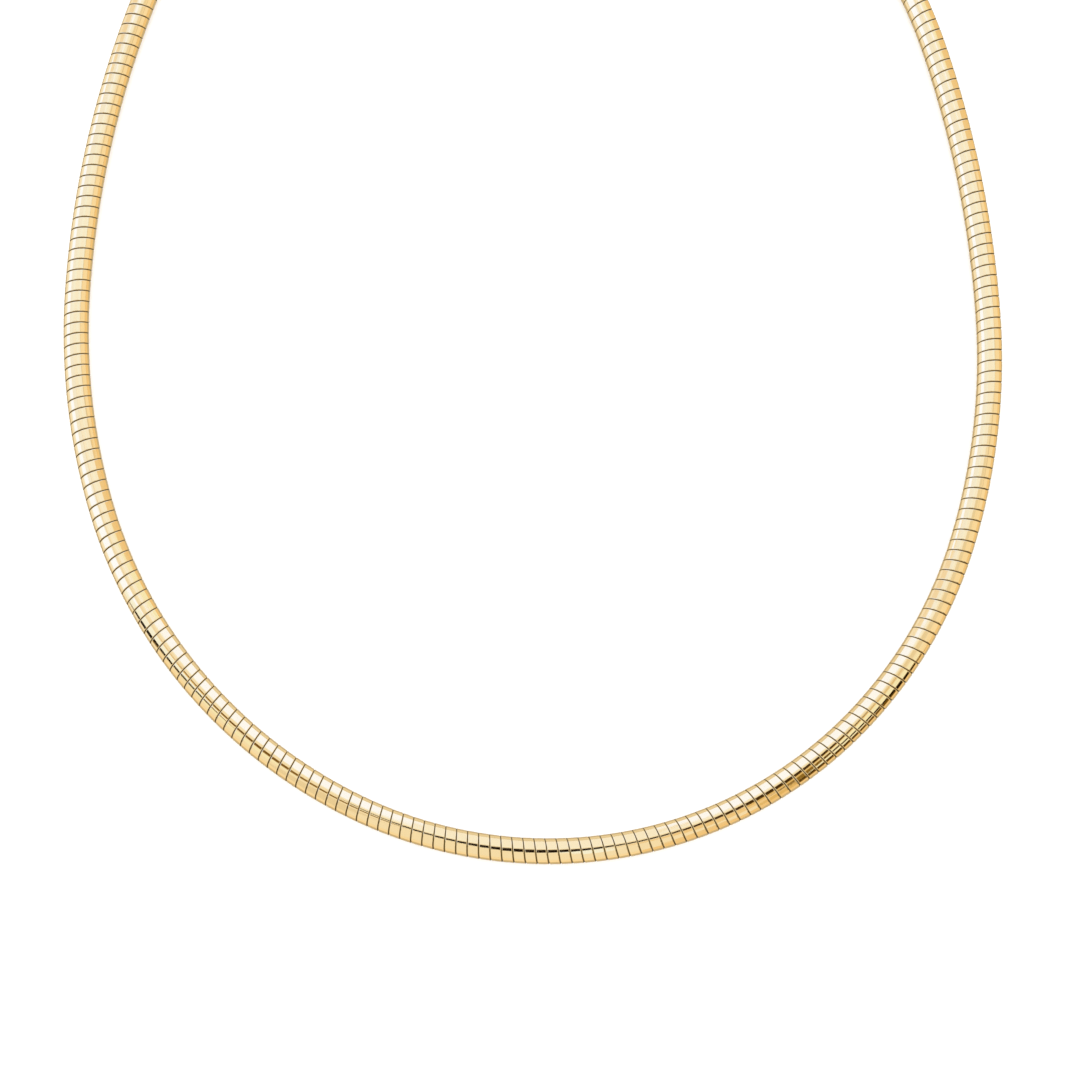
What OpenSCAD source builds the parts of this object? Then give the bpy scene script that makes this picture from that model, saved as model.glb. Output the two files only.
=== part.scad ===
// Round omega necklace: a flat gold strip wound in close turns round a stiff core, laid flat, and a
// plain clasp. The centre line is a row of tangent arcs on each side of the front point. X runs across
// the collar, Y from the front point to the clasp, and Z up from the surface that the collar lies on.

/* [Collar] */
// Width of the collar at its widest place, outside to outside
collar_w = 125; // [110:0.5:150]

/* [Chain] */
// Diameter of the chain over its turns
chain_d = 3.35; // [2.8:0.05:4.2]
// Length along the chain that one turn of the strip takes, groove included
turn_pitch = 1.46; // [1.2:0.02:2.2]
// Width of the groove between two turns
groove_w = 0.14; // [0.1:0.01:0.24]
// Depth of the groove between two turns
groove_depth = 0.16; // [0.1:0.01:0.3]

/* [Clasp] */
// Length of the clasp along the chain
clasp_l = 20; // [14:0.5:30]
// Width of the clasp across the chain
clasp_w = 5.2; // [4.6:0.1:7]
// Radius of the clasp's long edges
clasp_edge_r = 0.8; // [0.3:0.1:1.2]
// Diameter of the tongue at each end of the chain
tongue_d = 1.8; // [1.4:0.1:2]
// Length of the tongue
tongue_l = 4; // [2:0.5:6]
// Gap all round the tongue in its socket
tongue_clearance = 0.08; // [0.04:0.01:0.15]

/* [Hidden] */
$fa = 2;
$fs = 0.3;

// Arcs of the centre line from the front point upwards, as the collar lies.
// Columns: radius as a multiple of the front radius, angle in degrees. Both sides turn by the same
// angle in all.
RADIUS = 0;
ANGLE = 1;
right_shape = [[1.00, 46], [1.08, 27], [1.58, 20.5], [2.70, 14.5], [1.25, 16]];
left_shape = [[1.01, 25], [1.16, 46], [1.57, 20], [2.48, 17], [1.25, 16]];

half_turn = 180;
quarter_turn = 90;
rad = half_turn / PI;
chain_r = chain_d / 2;
core_r = chain_r - groove_depth;
// How far the core of one turn reaches into the next turn, and the tongue into the last turn
bite = 0.2;
tongue_root = 0.8;

// Sum of a list
function total(list, i = 0) = i == len(list) ? 0 : list[i] + total(list, i + 1);
// Heading and length at the start of arc i of a side: the heading is 0 at the front point, 180 at the clasp
function heading_at(rows, i) = i == 0 ? 0 : heading_at(rows, i - 1) + rows[i - 1][ANGLE];
function length_at(rows, i) =
    i == 0 ? 0 : length_at(rows, i - 1) + rows[i - 1][RADIUS] * rows[i - 1][ANGLE] / rad;
// Way across and way up a side, from the front point to the place where it has the given heading
function across(rows, heading) = total([for (i = [0:len(rows) - 1])
    let (a = min(heading, heading_at(rows, i)), b = min(heading, heading_at(rows, i + 1)))
    rows[i][RADIUS] * (sin(b) - sin(a))]);
function up(rows, heading) = total([for (i = [0:len(rows) - 1])
    let (a = min(heading, heading_at(rows, i)), b = min(heading, heading_at(rows, i + 1)))
    rows[i][RADIUS] * (cos(a) - cos(b))]);
// Heading of a side at a length measured from the front point
function heading_after(rows, length) =
    let (i = max([for (k = [0:len(rows) - 1]) if (length_at(rows, k) <= length) k]))
    heading_at(rows, i) + (length - length_at(rows, i)) / rows[i][RADIUS] * rad;

// The front radius that gives the collar its width, and the arcs in millimetres
front_r = (collar_w - chain_d) / (across(right_shape, quarter_turn) + across(left_shape, quarter_turn));
function in_mm(shape) = [for (row = shape) [row[RADIUS] * front_r, row[ANGLE]]];
right_front = in_mm(right_shape);
left_front = in_mm(left_shape);

// One plain arc on each side closes the loop at the back. Its radius makes both sides end at one height,
// with the clasp's length between them.
back_start = heading_at(right_front, len(right_front));
back_angle = half_turn - back_start;
back_sum = (across(right_front, half_turn) + across(left_front, half_turn) - clasp_l) / sin(back_start);
back_difference = (up(left_front, half_turn) - up(right_front, half_turn)) / (1 + cos(back_start));
right_arcs = concat(right_front, [[(back_sum + back_difference) / 2, back_angle]]);
left_arcs = concat(left_front, [[(back_sum - back_difference) / 2, back_angle]]);

// The origin is on the surface, in the middle of the box round the whole collar.
back_y = up(right_arcs, half_turn);
front_x = (across(left_arcs, quarter_turn) - across(right_arcs, quarter_turn)) / 2;
front_y = -(back_y + max(clasp_w, chain_d) / 2 - chain_r) / 2;
clasp_x = front_x + (across(right_arcs, half_turn) - across(left_arcs, half_turn)) / 2;

// Puts a piece at the given heading of a side, with its own X axis along the chain. side is 1 to the
// right and -1 to the left.
module on_side(rows, side, heading) {
    translate([front_x + side * across(rows, heading), front_y + up(rows, heading), chain_r])
        rotate(side > 0 ? heading : half_turn - heading)
            children();
}

// A round bar along X
module bar(d, from, to) {
    translate([from, 0, 0])
        rotate([0, quarter_turn, 0])
            cylinder(d = d, h = to - from);
}

// Half of the chain from the front point to the clasp. Each turn is straight, and the core joins it to the next.
// The last turn ends half a groove from the clasp, with the tongue on it.
module half_chain(rows, side) {
    side_l = length_at(rows, len(rows));
    turns = round(side_l / turn_pitch);
    pitch = side_l / turns;
    turn_half = (pitch - groove_w) / 2;
    for (turn = [0:turns - 1])
        on_side(rows, side, heading_after(rows, (turn + 0.5) * pitch)) {
            bar(chain_d, -turn_half, turn_half);
            if (turn < turns - 1) bar(2 * core_r, 0, turn_half + groove_w + bite);
        }
    on_side(rows, side, half_turn)
        bar(tongue_d, -tongue_root, tongue_l);
}

module chain_right() {
    color("gold")
        half_chain(right_arcs, 1);
}

module chain_left() {
    color("gold")
        half_chain(left_arcs, -1);
}

// Outline of the clasp's cross-section: a flat bar with round edges, as thick as the chain
module clasp_section() {
    square([clasp_w - 2 * clasp_edge_r, chain_d], center = true);
    square([clasp_w, chain_d - 2 * clasp_edge_r], center = true);
    for (side = [-1, 1], level = [-1, 1])
        translate([side * (clasp_w / 2 - clasp_edge_r), level * (chain_r - clasp_edge_r)])
            circle(r = clasp_edge_r);
}

// The clasp: one closed bar with a blind socket in each end for a tongue of the chain
module clasp() {
    socket_d = tongue_d + 2 * tongue_clearance;
    socket_bottom = clasp_l / 2 - tongue_l - tongue_clearance;
    color("gold")
        translate([clasp_x, front_y + back_y, chain_r])
            difference() {
                rotate([quarter_turn, 0, quarter_turn])
                    linear_extrude(clasp_l, center = true)
                        clasp_section();
                bar(socket_d, socket_bottom, clasp_l);
                bar(socket_d, -clasp_l, -socket_bottom);
            }
}

chain_right();
chain_left();
clasp();
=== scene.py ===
# %% [markdown]
# A round omega necklace
#
# An omega collar is a narrow gold strip wound in close turns round a stiff core. It keeps its round form
# when it is laid down, so it lies flat on the table here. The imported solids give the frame: every piece
# below is made in the same place and size. Lengths are written in millimetres, as a goldsmith would, and
# turned to metres at the end.

# %% Load the frame and measure its box
import math

import bpy
import numpy as np
from mathutils import Matrix


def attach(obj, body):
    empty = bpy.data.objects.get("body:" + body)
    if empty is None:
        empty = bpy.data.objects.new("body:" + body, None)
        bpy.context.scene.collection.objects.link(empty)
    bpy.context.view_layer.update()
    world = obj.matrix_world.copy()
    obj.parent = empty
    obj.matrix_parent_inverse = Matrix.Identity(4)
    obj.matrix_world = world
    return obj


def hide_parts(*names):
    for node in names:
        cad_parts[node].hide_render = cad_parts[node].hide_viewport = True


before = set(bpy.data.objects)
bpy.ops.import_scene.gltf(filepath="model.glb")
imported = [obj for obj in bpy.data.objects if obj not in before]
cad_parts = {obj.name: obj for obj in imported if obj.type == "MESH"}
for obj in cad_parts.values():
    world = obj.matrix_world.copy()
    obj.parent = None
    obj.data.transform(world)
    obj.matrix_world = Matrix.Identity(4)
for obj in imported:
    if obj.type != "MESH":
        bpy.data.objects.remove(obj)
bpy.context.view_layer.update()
MM = 0.001

# %% [markdown]
# The camera
#
# The photograph looks down steeply from the front of the collar, with the picture turned a few degrees. The
# long lens keeps the far side nearly as wide as the near side. The back of the collar is above the
# picture's top edge. The picture is square, so the sensor's width gives the angle of view both ways.

# %% Place the camera
CHAIN_D = 3.35
CHAIN_R = CHAIN_D / 2
# The point that the camera looks at, and its distance from there. Lens and sensor are in millimetres too.
CAMERA_TARGET = np.array([1.468, -33.891, CHAIN_R])
CAMERA_DISTANCE = 425.0
CAMERA_ELEVATION = math.radians(78.16)
CAMERA_TURN = math.radians(3.5)
CAMERA_ROLL = math.radians(4.84)
CAMERA_LENS = 107.86
SENSOR_WIDTH = 36.0
# Nothing nearer or farther than this is drawn, in metres. The far end lies beyond the tent.
NEAREST, FARTHEST = 0.01, 50.0

looks_along = np.array([math.sin(CAMERA_TURN) * math.cos(CAMERA_ELEVATION),
                        math.cos(CAMERA_TURN) * math.cos(CAMERA_ELEVATION),
                        -math.sin(CAMERA_ELEVATION)])
level_right = np.array([math.cos(CAMERA_TURN), -math.sin(CAMERA_TURN), 0.0])
level_up = np.cross(level_right, looks_along)
picture_right = math.cos(CAMERA_ROLL) * level_right + math.sin(CAMERA_ROLL) * level_up
picture_up = math.cos(CAMERA_ROLL) * level_up - math.sin(CAMERA_ROLL) * level_right

camera_data = bpy.data.cameras.new("camera")
camera_data.lens = CAMERA_LENS
camera_data.sensor_width = SENSOR_WIDTH
camera_data.clip_start = NEAREST
camera_data.clip_end = FARTHEST
camera = bpy.data.objects.new("camera", camera_data)
turn_matrix = Matrix(np.column_stack([picture_right, picture_up, -looks_along]).tolist()).to_4x4()
camera_place = (CAMERA_TARGET - CAMERA_DISTANCE * looks_along) * MM
camera.matrix_world = Matrix.Translation(camera_place) @ turn_matrix
bpy.context.scene.collection.objects.link(camera)
bpy.context.scene.camera = camera
print("camera at", [round(v, 4) for v in camera.matrix_world.translation])

# %% [markdown]
# The route of the chain
#
# The collar isn't a true circle: it was drawn together at the sides and lies a little unevenly. Its centre
# line is a row of arcs on each side of the front point, each arc starting in the direction in which the
# last one ended, so it has no corner anywhere. A Bezier curve could be bent to it by eye, but arcs have
# exact lengths, and these are the same values as in the part's source. The front radius follows from the
# collar's width, and one more arc on each side closes the loop at the clasp.

# %% Work out the arcs on each side
COLLAR_W = 125.0
CLASP_L, CLASP_W = 20.0, 5.2
# Arcs from the front point upwards: radius as a multiple of the front radius, and angle in degrees.
RIGHT_SHAPE = np.array([[1.00, 46], [1.08, 27], [1.58, 20.5], [2.70, 14.5], [1.25, 16]])
LEFT_SHAPE = np.array([[1.01, 25], [1.16, 46], [1.57, 20], [2.48, 17], [1.25, 16]])


def arc_ends(shape):
    """Heading in radians at the start and end of each arc: the running sum of the angles."""
    heading = np.radians(np.concatenate([[0.0], np.cumsum(shape[:, 1])]))
    return heading[:-1], heading[1:]


def side_reach(shape, heading):
    """Way across and way up from the front point to a heading: over each arc up to there, the radius times
    the change of the heading's sine, and times the fall of its cosine."""
    start, end = (np.minimum(h, heading) for h in arc_ends(shape))
    radius = shape[:, 0]
    return radius @ (np.sin(end) - np.sin(start)), radius @ (np.cos(start) - np.cos(end))


quarter_turn, half_turn = math.pi / 2, math.pi
widest_share = side_reach(RIGHT_SHAPE, quarter_turn)[0] + side_reach(LEFT_SHAPE, quarter_turn)[0]
front_radius = (COLLAR_W - CHAIN_D) / widest_share
right_arcs, left_arcs = (shape * [front_radius, 1.0] for shape in (RIGHT_SHAPE, LEFT_SHAPE))
back_start = arc_ends(RIGHT_SHAPE)[1][-1]
right_end, left_end = side_reach(right_arcs, half_turn), side_reach(left_arcs, half_turn)
back_sum = (right_end[0] + left_end[0] - CLASP_L) / math.sin(back_start)
back_difference = (left_end[1] - right_end[1]) / (1 + math.cos(back_start))
back_angle = 180.0 - math.degrees(back_start)
right_arcs = np.vstack([right_arcs, [(back_sum + back_difference) / 2, back_angle]])
left_arcs = np.vstack([left_arcs, [(back_sum - back_difference) / 2, back_angle]])

back_y = side_reach(right_arcs, half_turn)[1]
front_x = (side_reach(left_arcs, quarter_turn)[0] - side_reach(right_arcs, quarter_turn)[0]) / 2
front_y = -(back_y + CLASP_W / 2 - CHAIN_R) / 2
clasp_x = front_x + (side_reach(right_arcs, half_turn)[0] - side_reach(left_arcs, half_turn)[0]) / 2
clasp_y = front_y + back_y
right_length, left_length = (float(arcs[:, 0] @ np.radians(arcs[:, 1]))
                             for arcs in (right_arcs, left_arcs))
print("front radius %.3f, sides %.2f and %.2f mm long" % (front_radius, right_length, left_length))

# %% [markdown]
# Points along the route
#
# A winding needs the centre line and its direction at any length, for whole arrays at once. A Blender curve
# could be turned into points, but it would choose their number and places itself. Lengths run from the
# front point, negative up the left side and positive up the right side, so travel goes from the clasp down
# the left side, past the front and up the right side, with the inside of the collar always on the left
# hand.

# %% Find place and direction at any length


def along_side(arcs, length):
    """Way across, way up and heading at a length from the front point: inside arc i the heading grows by
    the length over the radius, and the way is the radius times the change of its sine and cosine."""
    start = arc_ends(arcs)[0]
    start_length = np.concatenate([[0.0], np.cumsum(arcs[:, 0] * np.radians(arcs[:, 1]))])[:-1]
    start_way = np.array([side_reach(arcs, h) for h in start])
    i = np.clip(np.searchsorted(start_length, length, side="right") - 1, 0, len(arcs) - 1)
    radius = arcs[i, 0]
    heading = start[i] + (length - start_length[i]) / radius
    across = start_way[i, 0] + radius * (np.sin(heading) - np.sin(start[i]))
    up = start_way[i, 1] + radius * (np.cos(start[i]) - np.cos(heading))
    return across, up, heading


def centre_line(length):
    """Place, unit travel and unit direction to the inside, at each signed length from the front."""
    right = along_side(right_arcs, np.maximum(length, 0.0))
    left = along_side(left_arcs, np.maximum(-length, 0.0))
    on_right = length >= 0
    x = front_x + np.where(on_right, right[0], -left[0])
    y = front_y + np.where(on_right, right[1], left[1])
    heading = np.where(on_right, right[2], -left[2])
    flat = np.zeros_like(x)
    place = np.stack([x, y, flat + CHAIN_R], axis=-1)
    travel = np.stack([np.cos(heading), np.sin(heading), flat], axis=-1)
    inside = np.stack([-np.sin(heading), np.cos(heading), flat], axis=-1)
    return place, travel, inside


ends = centre_line(np.array([-left_length, right_length]))[0]
print("chain meets the clasp at", np.round(ends, 3).tolist())

# %% [markdown]
# The wound strip
#
# On the real collar one long strip of gold winds round the core like thread round a bobbin, right-handed.
# Each turn is straight across its width and rounded at its two edges, and a fine groove is left between it
# and the next. A row of separate rings would look alike from above, but the seams of the real one lean by
# half a turn's width from one side to the other, so this is one true spiral. It is a grid with one
# direction round the chain and one across the strip; the last column of one turn joins the first column of
# the next.
#
# No two turns lie quite alike. A polished turn that is tilted by a part of a degree shows the light
# somewhere else, and this is what makes the reflections step from turn to turn. Small random waves in the
# tilt and the roundness of the turns do that here.

# %% Set the strip's sizes and count its turns
TURN_PITCH = 1.46
GROOVE_W = 0.14
# Points round the chain in one turn.
COLUMNS = 32
# Across the strip in mm from its middle, and how far each place lies below the chain's full radius. The
# first row is the bottom of the groove.
STRIP_ACROSS = np.array([0.0, -0.680, -0.658, -0.632, -0.592, 0.592, 0.632, 0.658, 0.680])
STRIP_BELOW = np.array([0.10, 0.07, 0.023, 0.006, 0.0, 0.0, 0.006, 0.023, 0.07])
ROWS = len(STRIP_ACROSS)
# The two rows between which the strip is flat.
FLAT_ROWS = (4, 5)
# The winding starts this many turns before the end of the left side, so that its seams fall where they were
# seen.
LEAD_TURNS = 1.5
# The most that a turn is tilted, and half of the most that its radius falls short where it is oval.
TILT_DEGREES = 0.35
OVAL = 0.003
# How far the turns and the flat ends stay inside the chain's full radius, so that no tilted edge passes the
# size of the solids.
TURN_ROOM = 0.006
END_ROOM = 0.02
WAVE_SEED = 17
left_turns, right_turns = round(left_length / TURN_PITCH), round(right_length / TURN_PITCH)
turns = left_turns + right_turns
rng = np.random.default_rng(WAVE_SEED)


def length_at_turn(turn):
    """Signed length where a number of turns has been wound: each side holds whole turns of one pitch."""
    return np.where(turn < left_turns, -left_length + turn * (left_length / left_turns),
                    (turn - left_turns) * (right_length / right_turns))


def turn_waves(turn):
    """A random value from -1 to 1 along the winding: one random number for each turn, joined by straight
    lines, with two turns to spare at each end."""
    return np.interp(turn, np.arange(-2, turns + 3), rng.uniform(-1, 1, turns + 5))


print("turns on the left side:", left_turns, "and on the right side:", right_turns)

# %% [markdown]
# The strip as a surface
#
# A Screw modifier could wind a section round a straight axis, but the axis of this chain curves, and no two
# turns are alike. So each point is worked out from two counters, one along the winding and one round the
# chain, for the whole strip at once. The same step keeps two more values for the material: how deep each
# point lies in the groove, and where it is on the flat strip before that was wound.

# %% Work out the strip's points


def wound_strip():
    """Vertices in mm, the groove's depth share and the strip's own coordinates, on a grid of (row, column).

    Column k stands at the angle q = 2 pi k / COLUMNS round the chain, from the inside over the top. Row j
    is row j % ROWS of the strip's section in turn j // ROWS. The strip's middle is at turn (j // ROWS) +
    1/2 + q / 2 pi less LEAD_TURNS; a point is the centre line there, plus travel times the way across the
    strip, plus the radius times the unit vector at q. Rows before the first or past the last turn are drawn
    in to the flat ends."""
    row = np.arange((turns + 2) * ROWS + 1)[:, None]
    angle = 2 * math.pi * np.arange(COLUMNS) / COLUMNS
    part = row % ROWS
    whole_turn = row // ROWS + angle / (2 * math.pi) - LEAD_TURNS
    middle_turn = np.where(part == 0, whole_turn, whole_turn + 0.5)
    middle = length_at_turn(middle_turn)
    across = np.broadcast_to(STRIP_ACROSS[part], middle_turn.shape)
    below = np.broadcast_to(STRIP_BELOW[part], middle_turn.shape)
    flat_edge = np.broadcast_to(np.isin(part, FLAT_ROWS) * part, middle_turn.shape)
    tilt = math.radians(TILT_DEGREES) * turn_waves(middle_turn)
    lean = turn_waves(middle_turn) * math.pi
    wave = OVAL * (np.cos(2 * angle + lean) - 1.0)
    radius = CHAIN_R - below + np.where(part == 0, 0.0, tilt * across) + wave - TURN_ROOM
    first, last = -left_length + GROOVE_W / 2, right_length - GROOVE_W / 2
    place_along = middle + across
    outside = (place_along <= first) | (place_along >= last)
    middle = np.where(outside, np.clip(place_along, first, last), middle)
    across = np.where(outside, 0.0, across)
    radius = np.where(outside, CHAIN_R - END_ROOM, radius)
    place, travel, inside = centre_line(middle)
    round_chain = inside * np.cos(angle)[:, None] + np.array([0.0, 0.0, 1.0]) * np.sin(angle)[:, None]
    vertices = place + travel * across[..., None] + round_chain * radius[..., None]
    strip_uv = np.stack([middle_turn * 2 * math.pi * CHAIN_R, across], axis=-1)
    groove = np.where(outside, 0.0, below / STRIP_BELOW.max())
    return vertices, {"groove": groove, "strip_mm": strip_uv, "flat_edge": flat_edge}


strip_vertices, strip_values = wound_strip()
print("rows and columns of the strip:", strip_vertices.shape[:2])

# %% [markdown]
# From points to a closed skin
#
# The grid winds, so its last column joins the first one a turn further on. Where the strip is drawn in to
# the two flat ends of the chain, many points fall on one place. They are made one, and a flat face closes
# each end, so the skin has no hole. The two edges of the strip's flat are marked sharp, or Blender would
# shade the flat as if it were rounded.

# %% Join the points into a mesh


def wound_faces(rows, columns, step):
    """Quads of a grid that winds: past the last column a quad goes on at the first column, one turn (step
    rows) further. Past the last row it stays on the last row."""
    j, k = np.meshgrid(np.arange(rows - 1), np.arange(columns), indexing="ij")
    wraps = k == columns - 1
    near, far = j, j + 1
    near_next = np.minimum(np.where(wraps, near + step, near), rows - 1)
    far_next = np.minimum(np.where(wraps, far + step, far), rows - 1)
    k_next = (k + 1) % columns
    quads = np.stack([near * columns + k, near_next * columns + k_next, far_next * columns + k_next,
                      far * columns + k], axis=-1)
    return quads.reshape(-1, 4)


def closed_mesh(name, vertices, quads, rings, values):
    """A mesh from grid vertices in mm. Vertices that share a place are made one, quads that lose a corner
    become triangles, quads that lose more are left out, and each ring of vertices is closed by one flat
    face."""
    flat = vertices.reshape(-1, 3)
    _, kept, joined = np.unique(np.round(flat, 5), axis=0, return_index=True, return_inverse=True)
    joined = joined.ravel()
    faces = joined[quads]
    same = faces == np.roll(faces, -1, axis=1)
    one_lost = same.sum(axis=1) == 1
    threes = faces[one_lost][~same[one_lost]].reshape(-1, 3)
    fours = faces[~same.any(axis=1)]
    caps = [joined[ring].tolist() for ring in rings]
    mesh = bpy.data.meshes.new(name)
    mesh.from_pydata((flat[kept] * MM).tolist(), [], fours.tolist() + threes.tolist() + caps)
    for value_name, value in values.items():
        value = value.reshape(len(flat), -1)[kept]
        kind = "FLOAT" if value.shape[1] == 1 else "FLOAT2"
        layer = mesh.attributes.new(value_name, kind, "POINT")
        layer.data.foreach_set("value" if kind == "FLOAT" else "vector", value.astype(np.float32).ravel())
    smooth_faces = len(mesh.polygons) - len(rings)
    mesh.polygons.foreach_set("use_smooth", [True] * smooth_faces + [False] * len(rings))
    mesh.update()
    made = bpy.data.objects.new(name, mesh)
    bpy.context.scene.collection.objects.link(made)
    return made


def mark_sharp(mesh, value_name):
    """The edges whose two ends carry the same value above zero are made sharp, so the flat beside them is
    shaded flat."""
    value = np.zeros(len(mesh.vertices), dtype=np.float32)
    mesh.attributes[value_name].data.foreach_get("value", value)
    ends = np.zeros(2 * len(mesh.edges), dtype=np.int32)
    mesh.edges.foreach_get("vertices", ends)
    first, second = value[ends.reshape(-1, 2)].T
    sharp = mesh.attributes.new("sharp_edge", "BOOLEAN", "EDGE")
    sharp.data.foreach_set("value", (first == second) & (first > 0))
    mesh.update()


strip_rows = strip_vertices.shape[0]
strip_quads = wound_faces(strip_rows, COLUMNS, ROWS)
first_ring = np.arange(COLUMNS)[::-1]
last_ring = (strip_rows - 1) * COLUMNS + np.arange(COLUMNS)
strip = closed_mesh("wound_strip", strip_vertices, strip_quads, [first_ring, last_ring], strip_values)
mark_sharp(strip.data, "flat_edge")
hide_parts("chain_left", "chain_right")
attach(strip, "root")
print("strip vertices:", len(strip.data.vertices), "faces:", len(strip.data.polygons))

# %% [markdown]
# The clasp
#
# The clasp is above the picture, so it is finished plainly: one closed bar that is as thick as the chain, a
# little wider, and brushed along its length, which hides the scratches of daily use. A cube with a Bevel
# would do, but its ends would need a radius of their own. So it is a rounded rectangle carried along the
# bar and drawn in by a quarter circle at both ends, and every edge is soft and catches a line of light.

# %% Make the clasp
CLASP_EDGE_R = 0.8
CLASP_END_R = 0.35
# How much the large flat faces count when normals are averaged: 1 to 100, where 50 is Blender's own value.
FLAT_WEIGHT = 60


def clasp_bar(around=64, end_steps=6):
    """Vertices in mm on a grid of (station, angle). The section is a rectangle whose corners are quarter
    circles; at a station of an end it is drawn in by r (1 - sin t), where the station lies r (1 - cos t)
    from the end."""
    corner = np.linspace(0, quarter_turn, around // 4)
    angle = np.concatenate([corner + i * quarter_turn for i in range(4)])
    sign_y = np.repeat([1, -1, -1, 1], around // 4)
    sign_z = np.repeat([1, 1, -1, -1], around // 4)
    t = np.linspace(0, quarter_turn, end_steps)
    drawn_in, from_end = CLASP_END_R * (1 - np.sin(t)), CLASP_END_R * (1 - np.cos(t))
    inset = np.concatenate([drawn_in, drawn_in[::-1]])
    station = np.concatenate([-CLASP_L / 2 + from_end, CLASP_L / 2 - from_end[::-1]])
    edge = CLASP_EDGE_R - inset[:, None]
    y = sign_y * (CLASP_W / 2 - CLASP_EDGE_R) + edge * np.cos(angle)
    z = sign_z * (CHAIN_R - CLASP_EDGE_R) + edge * np.sin(angle)
    x = np.broadcast_to(station[:, None], y.shape)
    return np.stack([clasp_x + x, clasp_y + y, CHAIN_R + z], axis=-1)


clasp_vertices = clasp_bar()
stations, around = clasp_vertices.shape[:2]
clasp_quads = wound_faces(stations, around, 0)
clasp = closed_mesh("clasp_bar", clasp_vertices, clasp_quads,
                    [np.arange(around)[::-1], (stations - 1) * around + np.arange(around)], {})
flat_sides = clasp.modifiers.new("flat_sides", "WEIGHTED_NORMAL")
flat_sides.mode = "FACE_AREA"
flat_sides.weight = FLAT_WEIGHT
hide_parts("clasp")
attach(clasp, "root")
print("clasp faces:", len(clasp.data.polygons))

# %% [markdown]
# Colours and nodes
#
# Colours are picked on screen as sRGB hex values. Shaders add light, so they need linear values: one
# function turns the one into the other. One more adds a node with its settings and links.

# %% Two helpers for materials


def linear(hex_colour, alpha=1.0):
    """sRGB hex to linear: c / 12.92 up to 0.04045, and ((c + 0.055) / 1.055) to the power 2.4 above it."""
    srgb = np.array([int(hex_colour[i:i + 2], 16) / 255 for i in (1, 3, 5)])
    value = np.where(srgb <= 0.04045, srgb / 12.92, ((srgb + 0.055) / 1.055) ** 2.4)
    return (*value.tolist(), alpha)


def add_node(tree, kind, inputs=None, **settings):
    """Adds a node and sets its properties. An input is linked if it is given a socket, or else set."""
    made = tree.nodes.new(kind)
    for name, value in settings.items():
        setattr(made, name, value)
    for key, value in (inputs or {}).items():
        if isinstance(value, bpy.types.NodeSocket):
            tree.links.new(value, made.inputs[key])
        else:
            made.inputs[key].default_value = value
    return made


print("middle grey in linear light:", round(linear("#808080")[0], 3))

# %% [markdown]
# Polished yellow gold
#
# The strip is taken to be 14 carat yellow gold, rolled flat, wound and polished. Alloyed with silver and
# copper it is paler and a little less red than pure gold. Polish leaves hair-fine lines along the strip,
# and years of wear leave the odd soft patch. They hardly show in colour, but they break the edge of a
# reflection. The rounded edges of each turn are painted paler, as a painted highlight beside each seam.
# The polishing wheel doesn't reach into the grooves, and they stay dark with old polish and oxide. Their
# brown is also painted shade, darker towards the bottom of the groove. Old polish and oxide aren't metal,
# so the metallic value falls to nothing there and the groove shows its own brown.
#
# The colour could be painted on the mesh, but then it would be only as fine as the mesh. Here the mesh
# carries one value, its depth in the groove, and the nodes turn it into colour, roughness and metal.

# %% Set the gold's colours and the size of its marks
GOLD_PALE = "#FFE8BE"
GOLD_DEEP = "#FDE3B3"
# A painted highlight: the paler gold of the rounded edges beside each seam.
EDGE_HIGHLIGHT = "#FFECC0"
# Old polish and oxide in the groove, and painted shade of the narrow groove, in one brown.
GROOVE_OXIDE_AND_SHADE = "#563E04"
# Where on the way to the groove's bottom, as a share, the painted edge highlight and the dark of oxide
# and painted shade start and are full.
HIGHLIGHT_FROM, HIGHLIGHT_FULL = 0.0, 0.12
DARK_FROM, DARK_FULL = 0.06, 0.2
GROOVE_ROUGHNESS = 0.6
GROOVE_SPECULAR = 0.2
# Polishing lines are about a hundredth of a millimetre apart and wouldn't show, so they are drawn 16 times
# as coarse. A line is some three millimetres long, and patches are a few millimetres wide.
LINE_SPACING = 0.16
LINES_PER_MM_ALONG = 0.35
LINE_HEIGHT = 0.004
LINE_STRENGTH = 0.25
PATCH_SIZE = 4.0
# The part of the noise's values, from 0 to 1, that is spread over the roughness.
NOISE_LOW, NOISE_HIGH = 0.35, 0.7
# Roughness of the smoothest and the roughest lines.
POLISHED = (0.04, 0.1)
print("pale gold in linear light:", [round(v, 3) for v in linear(GOLD_PALE)])

# %% [markdown]
# The nodes of the metal
#
# Large soft noise drifts between two golds. Fine noise, drawn out into lines, varies the roughness and
# lifts the surface by a few thousandths of a millimetre. The depth in the groove then blends in the
# painted highlight of the edge and after it the dark of oxide and painted shade. One function builds
# both finishes, because they are the same metal.

# %% Write the function that builds the metal


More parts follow.
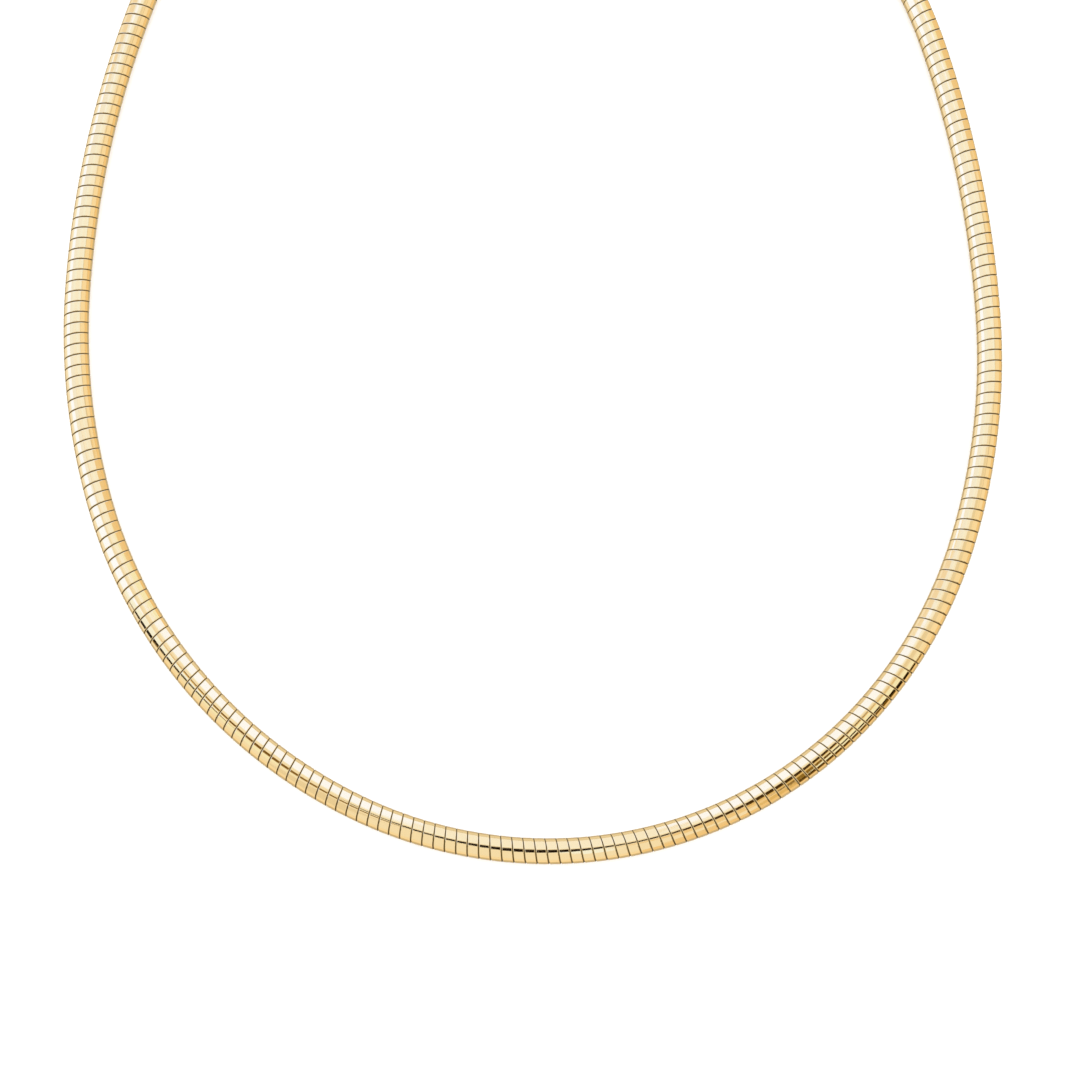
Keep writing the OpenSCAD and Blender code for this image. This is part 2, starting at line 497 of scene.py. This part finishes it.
def yellow_gold(name, line_coordinates, gloss, golds, has_groove=False):
    """Metal whose colour drifts between two golds in patches, with fine lines in its roughness and height.
    gloss is the roughness of its smoothest and its roughest lines. Input 0 of a Mix node is the share: a mix
    of numbers takes 2 and 3 and gives output 0, and a mix of colours takes 6 and 7 and gives output 2."""
    made = bpy.data.materials.new(name)
    made.use_nodes = True
    tree = made.node_tree
    shader = tree.nodes["Principled BSDF"]
    place = add_node(tree, "ShaderNodeTexCoord").outputs["Object"]
    patches = add_node(tree, "ShaderNodeTexNoise",
                       {"Vector": place, "Scale": 1 / (PATCH_SIZE * MM), "Detail": 3.0}).outputs["Fac"]
    colour = add_node(tree, "ShaderNodeMix", {0: patches, 6: linear(golds[0]), 7: linear(golds[1])},
                      data_type="RGBA").outputs[2]
    lines = add_node(tree, "ShaderNodeTexNoise",
                     {"Vector": line_coordinates(tree), "Scale": 1.0, "Detail": 2.0}).outputs["Fac"]
    rough = add_node(tree, "ShaderNodeMapRange",
                     {"Value": lines, "From Min": NOISE_LOW, "From Max": NOISE_HIGH,
                      "To Min": gloss[0], "To Max": gloss[1]}).outputs["Result"]
    shader.inputs["Metallic"].default_value = 1.0
    if has_groove:
        depth = add_node(tree, "ShaderNodeAttribute", attribute_name="groove").outputs["Fac"]
        # pale is the painted highlight of the edges, and dark is the oxide and painted shade of the groove.
        pale = add_node(tree, "ShaderNodeMapRange",
                        {"Value": depth, "From Min": HIGHLIGHT_FROM, "From Max": HIGHLIGHT_FULL}).outputs["Result"]
        # Towards the groove's bottom the colour goes to the brown of oxide and painted shade.
        dark = add_node(tree, "ShaderNodeMapRange",
                        {"Value": depth, "From Min": DARK_FROM, "From Max": DARK_FULL}).outputs["Result"]
        colour = add_node(tree, "ShaderNodeMix", {0: pale, 6: colour, 7: linear(EDGE_HIGHLIGHT)},
                          data_type="RGBA").outputs[2]
        colour = add_node(tree, "ShaderNodeMix", {0: dark, 6: colour, 7: linear(GROOVE_OXIDE_AND_SHADE)},
                          data_type="RGBA").outputs[2]
        rough = add_node(tree, "ShaderNodeMix", {0: dark, 2: rough, 3: GROOVE_ROUGHNESS}).outputs[0]
        metal = add_node(tree, "ShaderNodeMath", {0: 1.0, 1: dark}, operation="SUBTRACT").outputs[0]
        tree.links.new(metal, shader.inputs["Metallic"])
        shader.inputs["Specular IOR Level"].default_value = GROOVE_SPECULAR
    bump = add_node(tree, "ShaderNodeBump",
                    {"Height": lines, "Strength": LINE_STRENGTH, "Distance": LINE_HEIGHT * MM})
    tree.links.new(colour, shader.inputs["Base Color"])
    tree.links.new(rough, shader.inputs["Roughness"])
    tree.links.new(bump.outputs["Normal"], shader.inputs["Normal"])
    return made


print("polishing lines to a millimetre:", round(1 / LINE_SPACING, 2))

# %% [markdown]
# Which way the lines run
#
# Polishing and rolling leave lines along the strip, so the strip's lines follow its own coordinates and
# wind round the chain with it. The clasp is the same gold, but brushed, so its lines are rougher. They run
# straight along the bar.

# %% Finish the strip and the clasp


def along_strip(tree):
    """Coordinates that run slowly along the strip and fast across it, so noise is drawn out into lines."""
    strip_mm = add_node(tree, "ShaderNodeAttribute", attribute_name="strip_mm").outputs["Vector"]
    scale = (LINES_PER_MM_ALONG, 1 / LINE_SPACING, 1.0)
    return add_node(tree, "ShaderNodeMapping", {"Vector": strip_mm, "Scale": scale}).outputs["Vector"]


def along_bar(tree):
    """The same for the clasp: slow along X, fast across it."""
    place = add_node(tree, "ShaderNodeTexCoord").outputs["Object"]
    fine = 1 / (LINE_SPACING * MM)
    scale = (LINES_PER_MM_ALONG / MM, fine, fine)
    return add_node(tree, "ShaderNodeMapping", {"Vector": place, "Scale": scale}).outputs["Vector"]


strip.data.materials.append(yellow_gold("rolled_polished_gold", along_strip, POLISHED,
                                        (GOLD_DEEP, GOLD_PALE), has_groove=True))
# Brushed gold spreads each reflection wide and throws less light back, so it looks softer and deeper.
BRUSHED = (0.2, 0.32)
BRUSHED_DEEP, BRUSHED_PALE = "#F0D29A", "#F4DAA8"
clasp.data.materials.append(yellow_gold("brushed_gold_bar", along_bar, BRUSHED,
                                        (BRUSHED_DEEP, BRUSHED_PALE)))
print("materials:", [m.name for m in bpy.data.materials])

# %% [markdown]
# The stage
#
# A bright metal has no look of its own: it shows what stands round it. The necklace is on white, and its
# reflections look like those of a light tent, so the floor and the light from all round are plain white. A
# picture of a studio could light the metal, but this script reads no picture. So the tent is built of thin
# curved sheets that give an even light and that only reflections see. The back and left walls are the
# brightest, the right and the front are warmer and dimmer, and past the level of the table the sheets stand
# for the shaded floor beside the chain. What is dark in the metal is taken to be two gaps between the
# sheets, a stand at the right, two arms overhead and the lens. None of these is seen itself: all are
# guessed from the reflections.
#
# Each sheet follows a dome round the collar. The dome is wide, so every stretch of the chain sees it the
# same way. A real tent would stand closer, and its reflections would shift more from place to place.

# %% Build the floor and the light from all round
# The stage is far larger than the necklace, so its lengths are in metres.
FLOOR_HALF = 8.0
FLOOR_WHITE = "#F2F2F2"
SKY_STRENGTH = 1.9
bpy.context.scene.view_settings.view_transform = "Standard"
bpy.context.scene.view_settings.look = "None"

world = bpy.data.worlds.new("white_room")
world.use_nodes = True
background = world.node_tree.nodes["Background"]
background.inputs["Color"].default_value = linear("#FFFFFF")
background.inputs["Strength"].default_value = SKY_STRENGTH
bpy.context.scene.world = world


def stage_object(name, corners, faces, material):
    """A plain mesh of the stage, which isn't part of the necklace."""
    mesh = bpy.data.meshes.new(name)
    mesh.from_pydata([tuple(c) for c in corners], [], faces)
    mesh.materials.append(material)
    made = bpy.data.objects.new(name, mesh)
    bpy.context.scene.collection.objects.link(made)
    return made


floor_material = bpy.data.materials.new("white_floor")
floor_material.use_nodes = True
floor_shader = floor_material.node_tree.nodes["Principled BSDF"]
floor_shader.inputs["Base Color"].default_value = linear(FLOOR_WHITE)
floor_shader.inputs["Roughness"].default_value = 1.0
floor_shader.inputs["Specular IOR Level"].default_value = 0.0
floor_corners = [(x * FLOOR_HALF, y * FLOOR_HALF, 0.0) for x, y in ((-1, -1), (1, -1), (1, 1), (-1, 1))]
floor = stage_object("floor", floor_corners, [(0, 1, 2, 3)], floor_material)
floor.visible_glossy = False
print("floor and light ready, the floor is", 2 * FLOOR_HALF, "m wide")

# %% [markdown]
# The cloth of the tent
#
# Lamps behind real cloth light it almost evenly, so a sheet here gives one colour of light and needs no
# lamp. Cameras, shadows and the matt floor don't see it, so it changes nothing but the reflections.

# %% Choose the tones of the cloth


def for_reflections_only(made):
    """Only a ray that has bounced off something glossy meets it."""
    made.visible_camera = made.visible_diffuse = made.visible_shadow = False
    made.visible_transmission = made.visible_volume_scatter = False


def glow(name, hex_colour, strength):
    """A cloth that is lit evenly from behind: it gives one colour of light and reflects nothing."""
    made = bpy.data.materials.new(name)
    made.use_nodes = True
    tree = made.node_tree
    tree.nodes.remove(tree.nodes["Principled BSDF"])
    light = add_node(tree, "ShaderNodeEmission", {"Color": linear(hex_colour), "Strength": strength})
    tree.links.new(light.outputs[0], tree.nodes["Material Output"].inputs["Surface"])
    return made


# Tones of light, from the brightest sheet to the dark gaps: sRGB colour and strength. They are bluer than
# they look on the metal, because gold takes away blue.
TONES = {
    "white": ("#C2D4FF", 1.86), "milk": ("#C8D8FF", 1.72), "cream": ("#E0EFFF", 1.26),
    "linen": ("#E5EFFF", 1.18), "pale": ("#F0F7FF", 1.1), "lemon": ("#F8FFF0", 1.0),
    "honey": ("#FFFFFF", 0.96), "straw": ("#FFFCEE", 0.93), "sand": ("#FFF4D8", 0.96),
    "seam": ("#FFF7E9", 0.9), "hem": ("#FFFFFF", 0.82), "shade": ("#FFF7DF", 0.83),
    "fold": ("#FFF6D8", 0.71), "line": ("#FFF4DB", 0.76), "amber": ("#FFE9BC", 0.88),
    "tan": ("#FFE3AE", 0.9), "under": ("#FFF0CF", 0.6), "gold": ("#FFDF99", 0.77),
    "brown": ("#FFCE5A", 0.27), "umber": ("#FFC040", 0.16), "dark": ("#FFBE4C", 0.06),
    "black": ("#FFC060", 0.012),
}
print("tones:", len(TONES))

# %% [markdown]
# The sheets
#
# A sheet is given by the way to it from the collar: how far down from straight overhead, and between which
# two directions. Thin ones stand for folds, hems and seams, which the polished turns show as fine lines.

# %% Say where each sheet hangs
# Each sheet has a tone, its distance as a share of the tent's radius, and rows of (degrees from the zenith,
# azimuth where it starts, azimuth where it ends). A nearer sheet covers the ones behind it. Rows past 90
# degrees stand for the shaded floor beside the chain.
TENT_SHEETS = {
    "floor_right": ("tan", 0.99, [(90, -50, 47), (122, -50, 47)]),
    "floor_back_fold": ("fold", 0.99, [(90, 47, 135), (97, 47, 135)]),
    "floor_back": ("shade", 0.99, [(97, 47, 135), (122, 47, 135)]),
    "floor_left": ("honey", 0.99, [(90, 135, 204), (110, 135, 204)]),
    "floor_left_low": ("straw", 0.99, [(110, 135, 204), (124, 135, 204)]),
    "floor_front": ("sand", 0.99, [(90, 204, 288), (118, 204, 288)]),
    "floor_front_low": ("tan", 0.99, [(118, 204, 288), (124, 204, 288)]),
    "floor_front_right": ("tan", 0.99, [(90, 288, 310), (122, 288, 310)]),
    "floor_under": ("under", 0.992, [(120, 0, 360), (179, 0, 360)]),
    "ceiling_right": ("shade", 0.985, [(10, -25, 50), (20, -16, 36), (30, -14, 22), (45, -10, 8)]),
    "ceiling_back": ("pale", 0.98, [(13, 45, 135), (20, 30, 150), (30, 36, 140)]),
    "ceiling_left": ("straw", 0.985, [(10, 125, 188), (20, 138, 190), (30, 158, 190)]),
    "right": ("sand", 0.98, [(40, -9, 30), (50, -15, 42), (60, -22, 47), (91, -24, 47)]),
    "right_by_gap": ("lemon", 0.97, [(28, -34, -14), (45, -33, -16), (60, -29, -18), (72, -25, -19)]),
    "right_back": ("pale", 0.975, [(20, 36, 66), (26, 28, 60), (34, 22, 55), (42, 18, 50), (52, 30, 48)]),
    "right_line": ("line", 0.97, [(42, 15, 24), (46, 9, 27), (50, 5, 14), (54, 2, 8)]),
    "right_line_back": ("line", 0.965, [(45, 22, 29), (52, 27, 32), (60, 27, 31)]),
    "right_back_seam": ("amber", 0.97, [(50, 31, 40), (60, 29, 40), (91, 28, 40)]),
    "right_back_edge": ("lemon", 0.972, [(40, 40, 52), (52, 40, 49), (91, 40, 46)]),
    "back_right_half": ("milk", 0.965, [(18, 74, 80), (24, 63, 79), (35, 54, 78), (50, 48, 77),
                                        (85, 45.5, 77)]),
    "back_left_half": ("milk", 0.965, [(18, 97, 104), (24, 98, 118), (30, 100, 127), (40, 101, 133),
                                       (50, 102, 136), (85, 102, 137)]),
    "back_fold": ("pale", 0.96, [(18, 80, 98), (24, 79, 98), (60, 77, 102), (91, 77, 102)]),
    "back_low": ("pale", 0.955, [(85, 45, 138), (92, 45, 138)]),
    "left_back": ("linen", 0.975, [(24, 116, 176), (32, 124, 174), (40, 131, 176), (50, 135, 177),
                                   (57, 137, 160)]),
    "left_back_hem": ("hem", 0.97, [(15, 166, 186), (19, 157, 180), (23, 150, 168)]),
    "left_back_seam": ("seam", 0.97, [(45, 137, 143), (60, 138, 146), (91, 138.5, 147)]),
    "left_sheet": ("white", 0.965, [(30, 170, 189), (36, 174, 191), (42, 176, 193), (50, 177, 194),
                                    (54, 172, 194.5), (57, 156, 195), (60, 149, 195.5), (86, 147, 196)]),
    "left_low": ("cream", 0.96, [(86, 147, 199), (93, 149, 199)]),
    "left_by_gap": ("cream", 0.97, [(28, 187, 209), (34, 190, 211), (50, 193, 208), (60, 195, 205),
                                    (91, 195, 200)]),
    "front_left": ("lemon", 0.98, [(36, 213, 228), (60, 209, 224), (66, 207, 216)]),
    "front_left_fold": ("shade", 0.975, [(30, 230, 242), (52, 228, 240), (91, 227, 240)]),
    "front_top": ("cream", 0.97, [(10, 276, 296), (20, 277, 288), (45, 279, 284)]),
    "front_right": ("amber", 0.975, [(16, 291, 312), (30, 297, 313), (45, 300, 314), (56, 303, 313.5),
                                     (62, 306, 313)]),
    "front_right_fold": ("amber", 0.97, [(66, 292, 302), (92, 290, 303)]),
    "front_right_edge": ("gold", 0.96, [(62, 309, 314), (68, 307.5, 314), (85, 307, 314), (92, 309, 314)]),
    "gap_left_rim": ("brown", 0.92, [(38, 209.5, 215), (44, 207.8, 213.8), (50, 206.3, 212.5),
                                     (60, 204, 210), (70, 201.6, 208), (80, 199, 205.8),
                                     (98, 197.8, 204.5)]),
    "gap_left": ("black", 0.9, [(43, 208.5, 212), (50, 207.2, 211.2), (60, 204.7, 209.2), (70, 202, 207),
                                (80, 199.6, 205), (97, 198.4, 203.6)]),
    "gap_right_rim": ("brown", 0.92, [(37, 320.5, 326), (44, 320.5, 327), (50, 321.8, 329),
                                      (60, 326, 333.8), (70, 330, 338), (80, 332.2, 340),
                                      (98, 333.5, 341)]),
    "gap_right": ("black", 0.9, [(44, 321.2, 325.4), (50, 322.6, 327.6), (60, 326.6, 332.2),
                                 (70, 330.8, 336.4), (80, 332.8, 338.4), (97, 334.2, 339.6)]),
    "stand_top": ("gold", 0.95, [(25, 315, 325), (32, 309, 327), (41, 309, 325)]),
    "stand_high": ("brown", 0.94, [(40, 317.5, 323.5), (45, 313.5, 324), (52, 313.5, 324),
                                   (57, 313.5, 321.5), (62, 313.8, 317.8), (76, 313.8, 317)]),
    "stand_light": ("lemon", 0.935, [(57.5, 320.5, 324), (61, 318, 326), (66, 317.5, 329),
                                     (71, 317, 330.5)]),
    "stand_low": ("dark", 0.928, [(73, 314, 325.5), (79, 313.8, 327), (85, 313.8, 327)]),
    "stand_foot": ("umber", 0.93, [(83, 313.8, 328), (99, 313.8, 328)]),
    "stand_low_right": ("umber", 0.935, [(77, 325, 332), (85, 326, 335), (99, 326, 336)]),
    "arm_left_shadow": ("gold", 0.905, [(20, 180, 202), (24, 186, 208), (28, 196, 206)]),
    "arm_left": ("brown", 0.9, [(11, 184, 236), (13, 178, 238), (17, 179, 238), (20, 189, 232),
                                (22, 199, 228), (24, 208, 224), (28, 214, 222), (31, 217, 221)]),
    "arm_left_core": ("umber", 0.895, [(12.5, 178, 190), (16, 180, 206), (19, 185, 216), (21.5, 203, 218),
                                       (24.5, 210, 219)]),
    "arm_right_shadow": ("gold", 0.905, [(17, 320, 372), (21, 318, 360), (25, 316, 345), (29, 316, 330)]),
    "arm_right": ("dark", 0.9, [(4, 312, 388), (9, 309, 388), (12, 310, 376), (15, 311, 366),
                                (18, 313, 358), (21, 314, 345), (23, 315, 334), (26, 315, 325),
                                (29, 315, 320)]),
    "lens": ("black", 0.89, [(0.5, 0, 360), (5, 0, 360)]),
    "lens_barrel": ("black", 0.88, [(3, 190, 390), (5, 205, 335), (8, 234, 305), (12, 250, 291),
                                    (17, 259, 280), (22, 265, 272)]),
}
print("sheets:", len(TENT_SHEETS))

# %% [markdown]
# Hanging them
#
# Each sheet is a small grid on the dome, fine enough that its edges look curved. Behind them all the whole
# dome is cloth, so no reflection finds an empty place.

# %% Hang the sheets
TENT_RADIUS = 5.0


def on_tent(from_top, azimuth, share):
    """A point of the tent: from_top degrees down from the zenith, azimuth degrees from +X towards +Y. Its
    distance is a share of the tent's radius, times sine and cosine of the two angles."""
    a, b = np.radians(from_top), np.radians(azimuth)
    return TENT_RADIUS * share * np.stack([np.sin(a) * np.cos(b), np.sin(a) * np.sin(b), np.cos(a)], axis=-1)


def tent_patch(rows, share, step=2.5):
    """Corners and faces of a sheet that follows the tent. Down the grid the angle from the zenith runs from
    the first row to the last, and across it the azimuth runs between the two ends that the rows give there.
    step is the size of a face in degrees."""
    given_top, start, end = np.array(rows, dtype=float).T
    downs = 1 + math.ceil((given_top[-1] - given_top[0]) / step)
    acrosses = 1 + math.ceil((end - start).max() / step)
    even_steps = np.linspace(given_top[0], given_top[-1], downs)
    from_top = np.unique(np.concatenate([even_steps, given_top]))[:, None]
    share_across = np.linspace(0.0, 1.0, acrosses)
    azimuth = ((1 - share_across) * np.interp(from_top, given_top, start)
               + share_across * np.interp(from_top, given_top, end))
    j, k = np.meshgrid(np.arange(len(from_top) - 1), np.arange(acrosses - 1), indexing="ij")
    first = (j * acrosses + k).ravel()
    faces = np.stack([first, first + acrosses, first + acrosses + 1, first + 1], axis=-1)
    return on_tent(np.broadcast_to(from_top, azimuth.shape), azimuth, share).reshape(-1, 3), faces.tolist()


# Degrees that the dome leaves open at its two poles.
POLE = 0.1
whole_tent = tent_patch([(POLE, 0, 360), (180 - POLE, 0, 360)], 1.0, step=7.5)
for_reflections_only(stage_object("tent", *whole_tent, glow("tent_cloth", *TONES["straw"])))
for name, (tone, share, rows) in TENT_SHEETS.items():
    cloth = glow(name + "_" + tone, *TONES[tone])
    for_reflections_only(stage_object(name, *tent_patch(rows, share), cloth))
# The hem where the back wall meets the ceiling is one straight bright strip along X. It is as wide to each
# side as it is high, and its two edges are given as shares of that height.
HEM_HEIGHT = 3.1
HEM_FRONT, HEM_BACK = 0.295, 0.335
hem = [(x * HEM_HEIGHT, y * HEM_HEIGHT, HEM_HEIGHT)
       for x, y in ((-1.0, HEM_FRONT), (1.0, HEM_FRONT), (1.0, HEM_BACK), (-1.0, HEM_BACK))]
for_reflections_only(stage_object("back_hem", hem, [(0, 1, 2, 3)], glow("back_hem_cream", *TONES["cream"])))
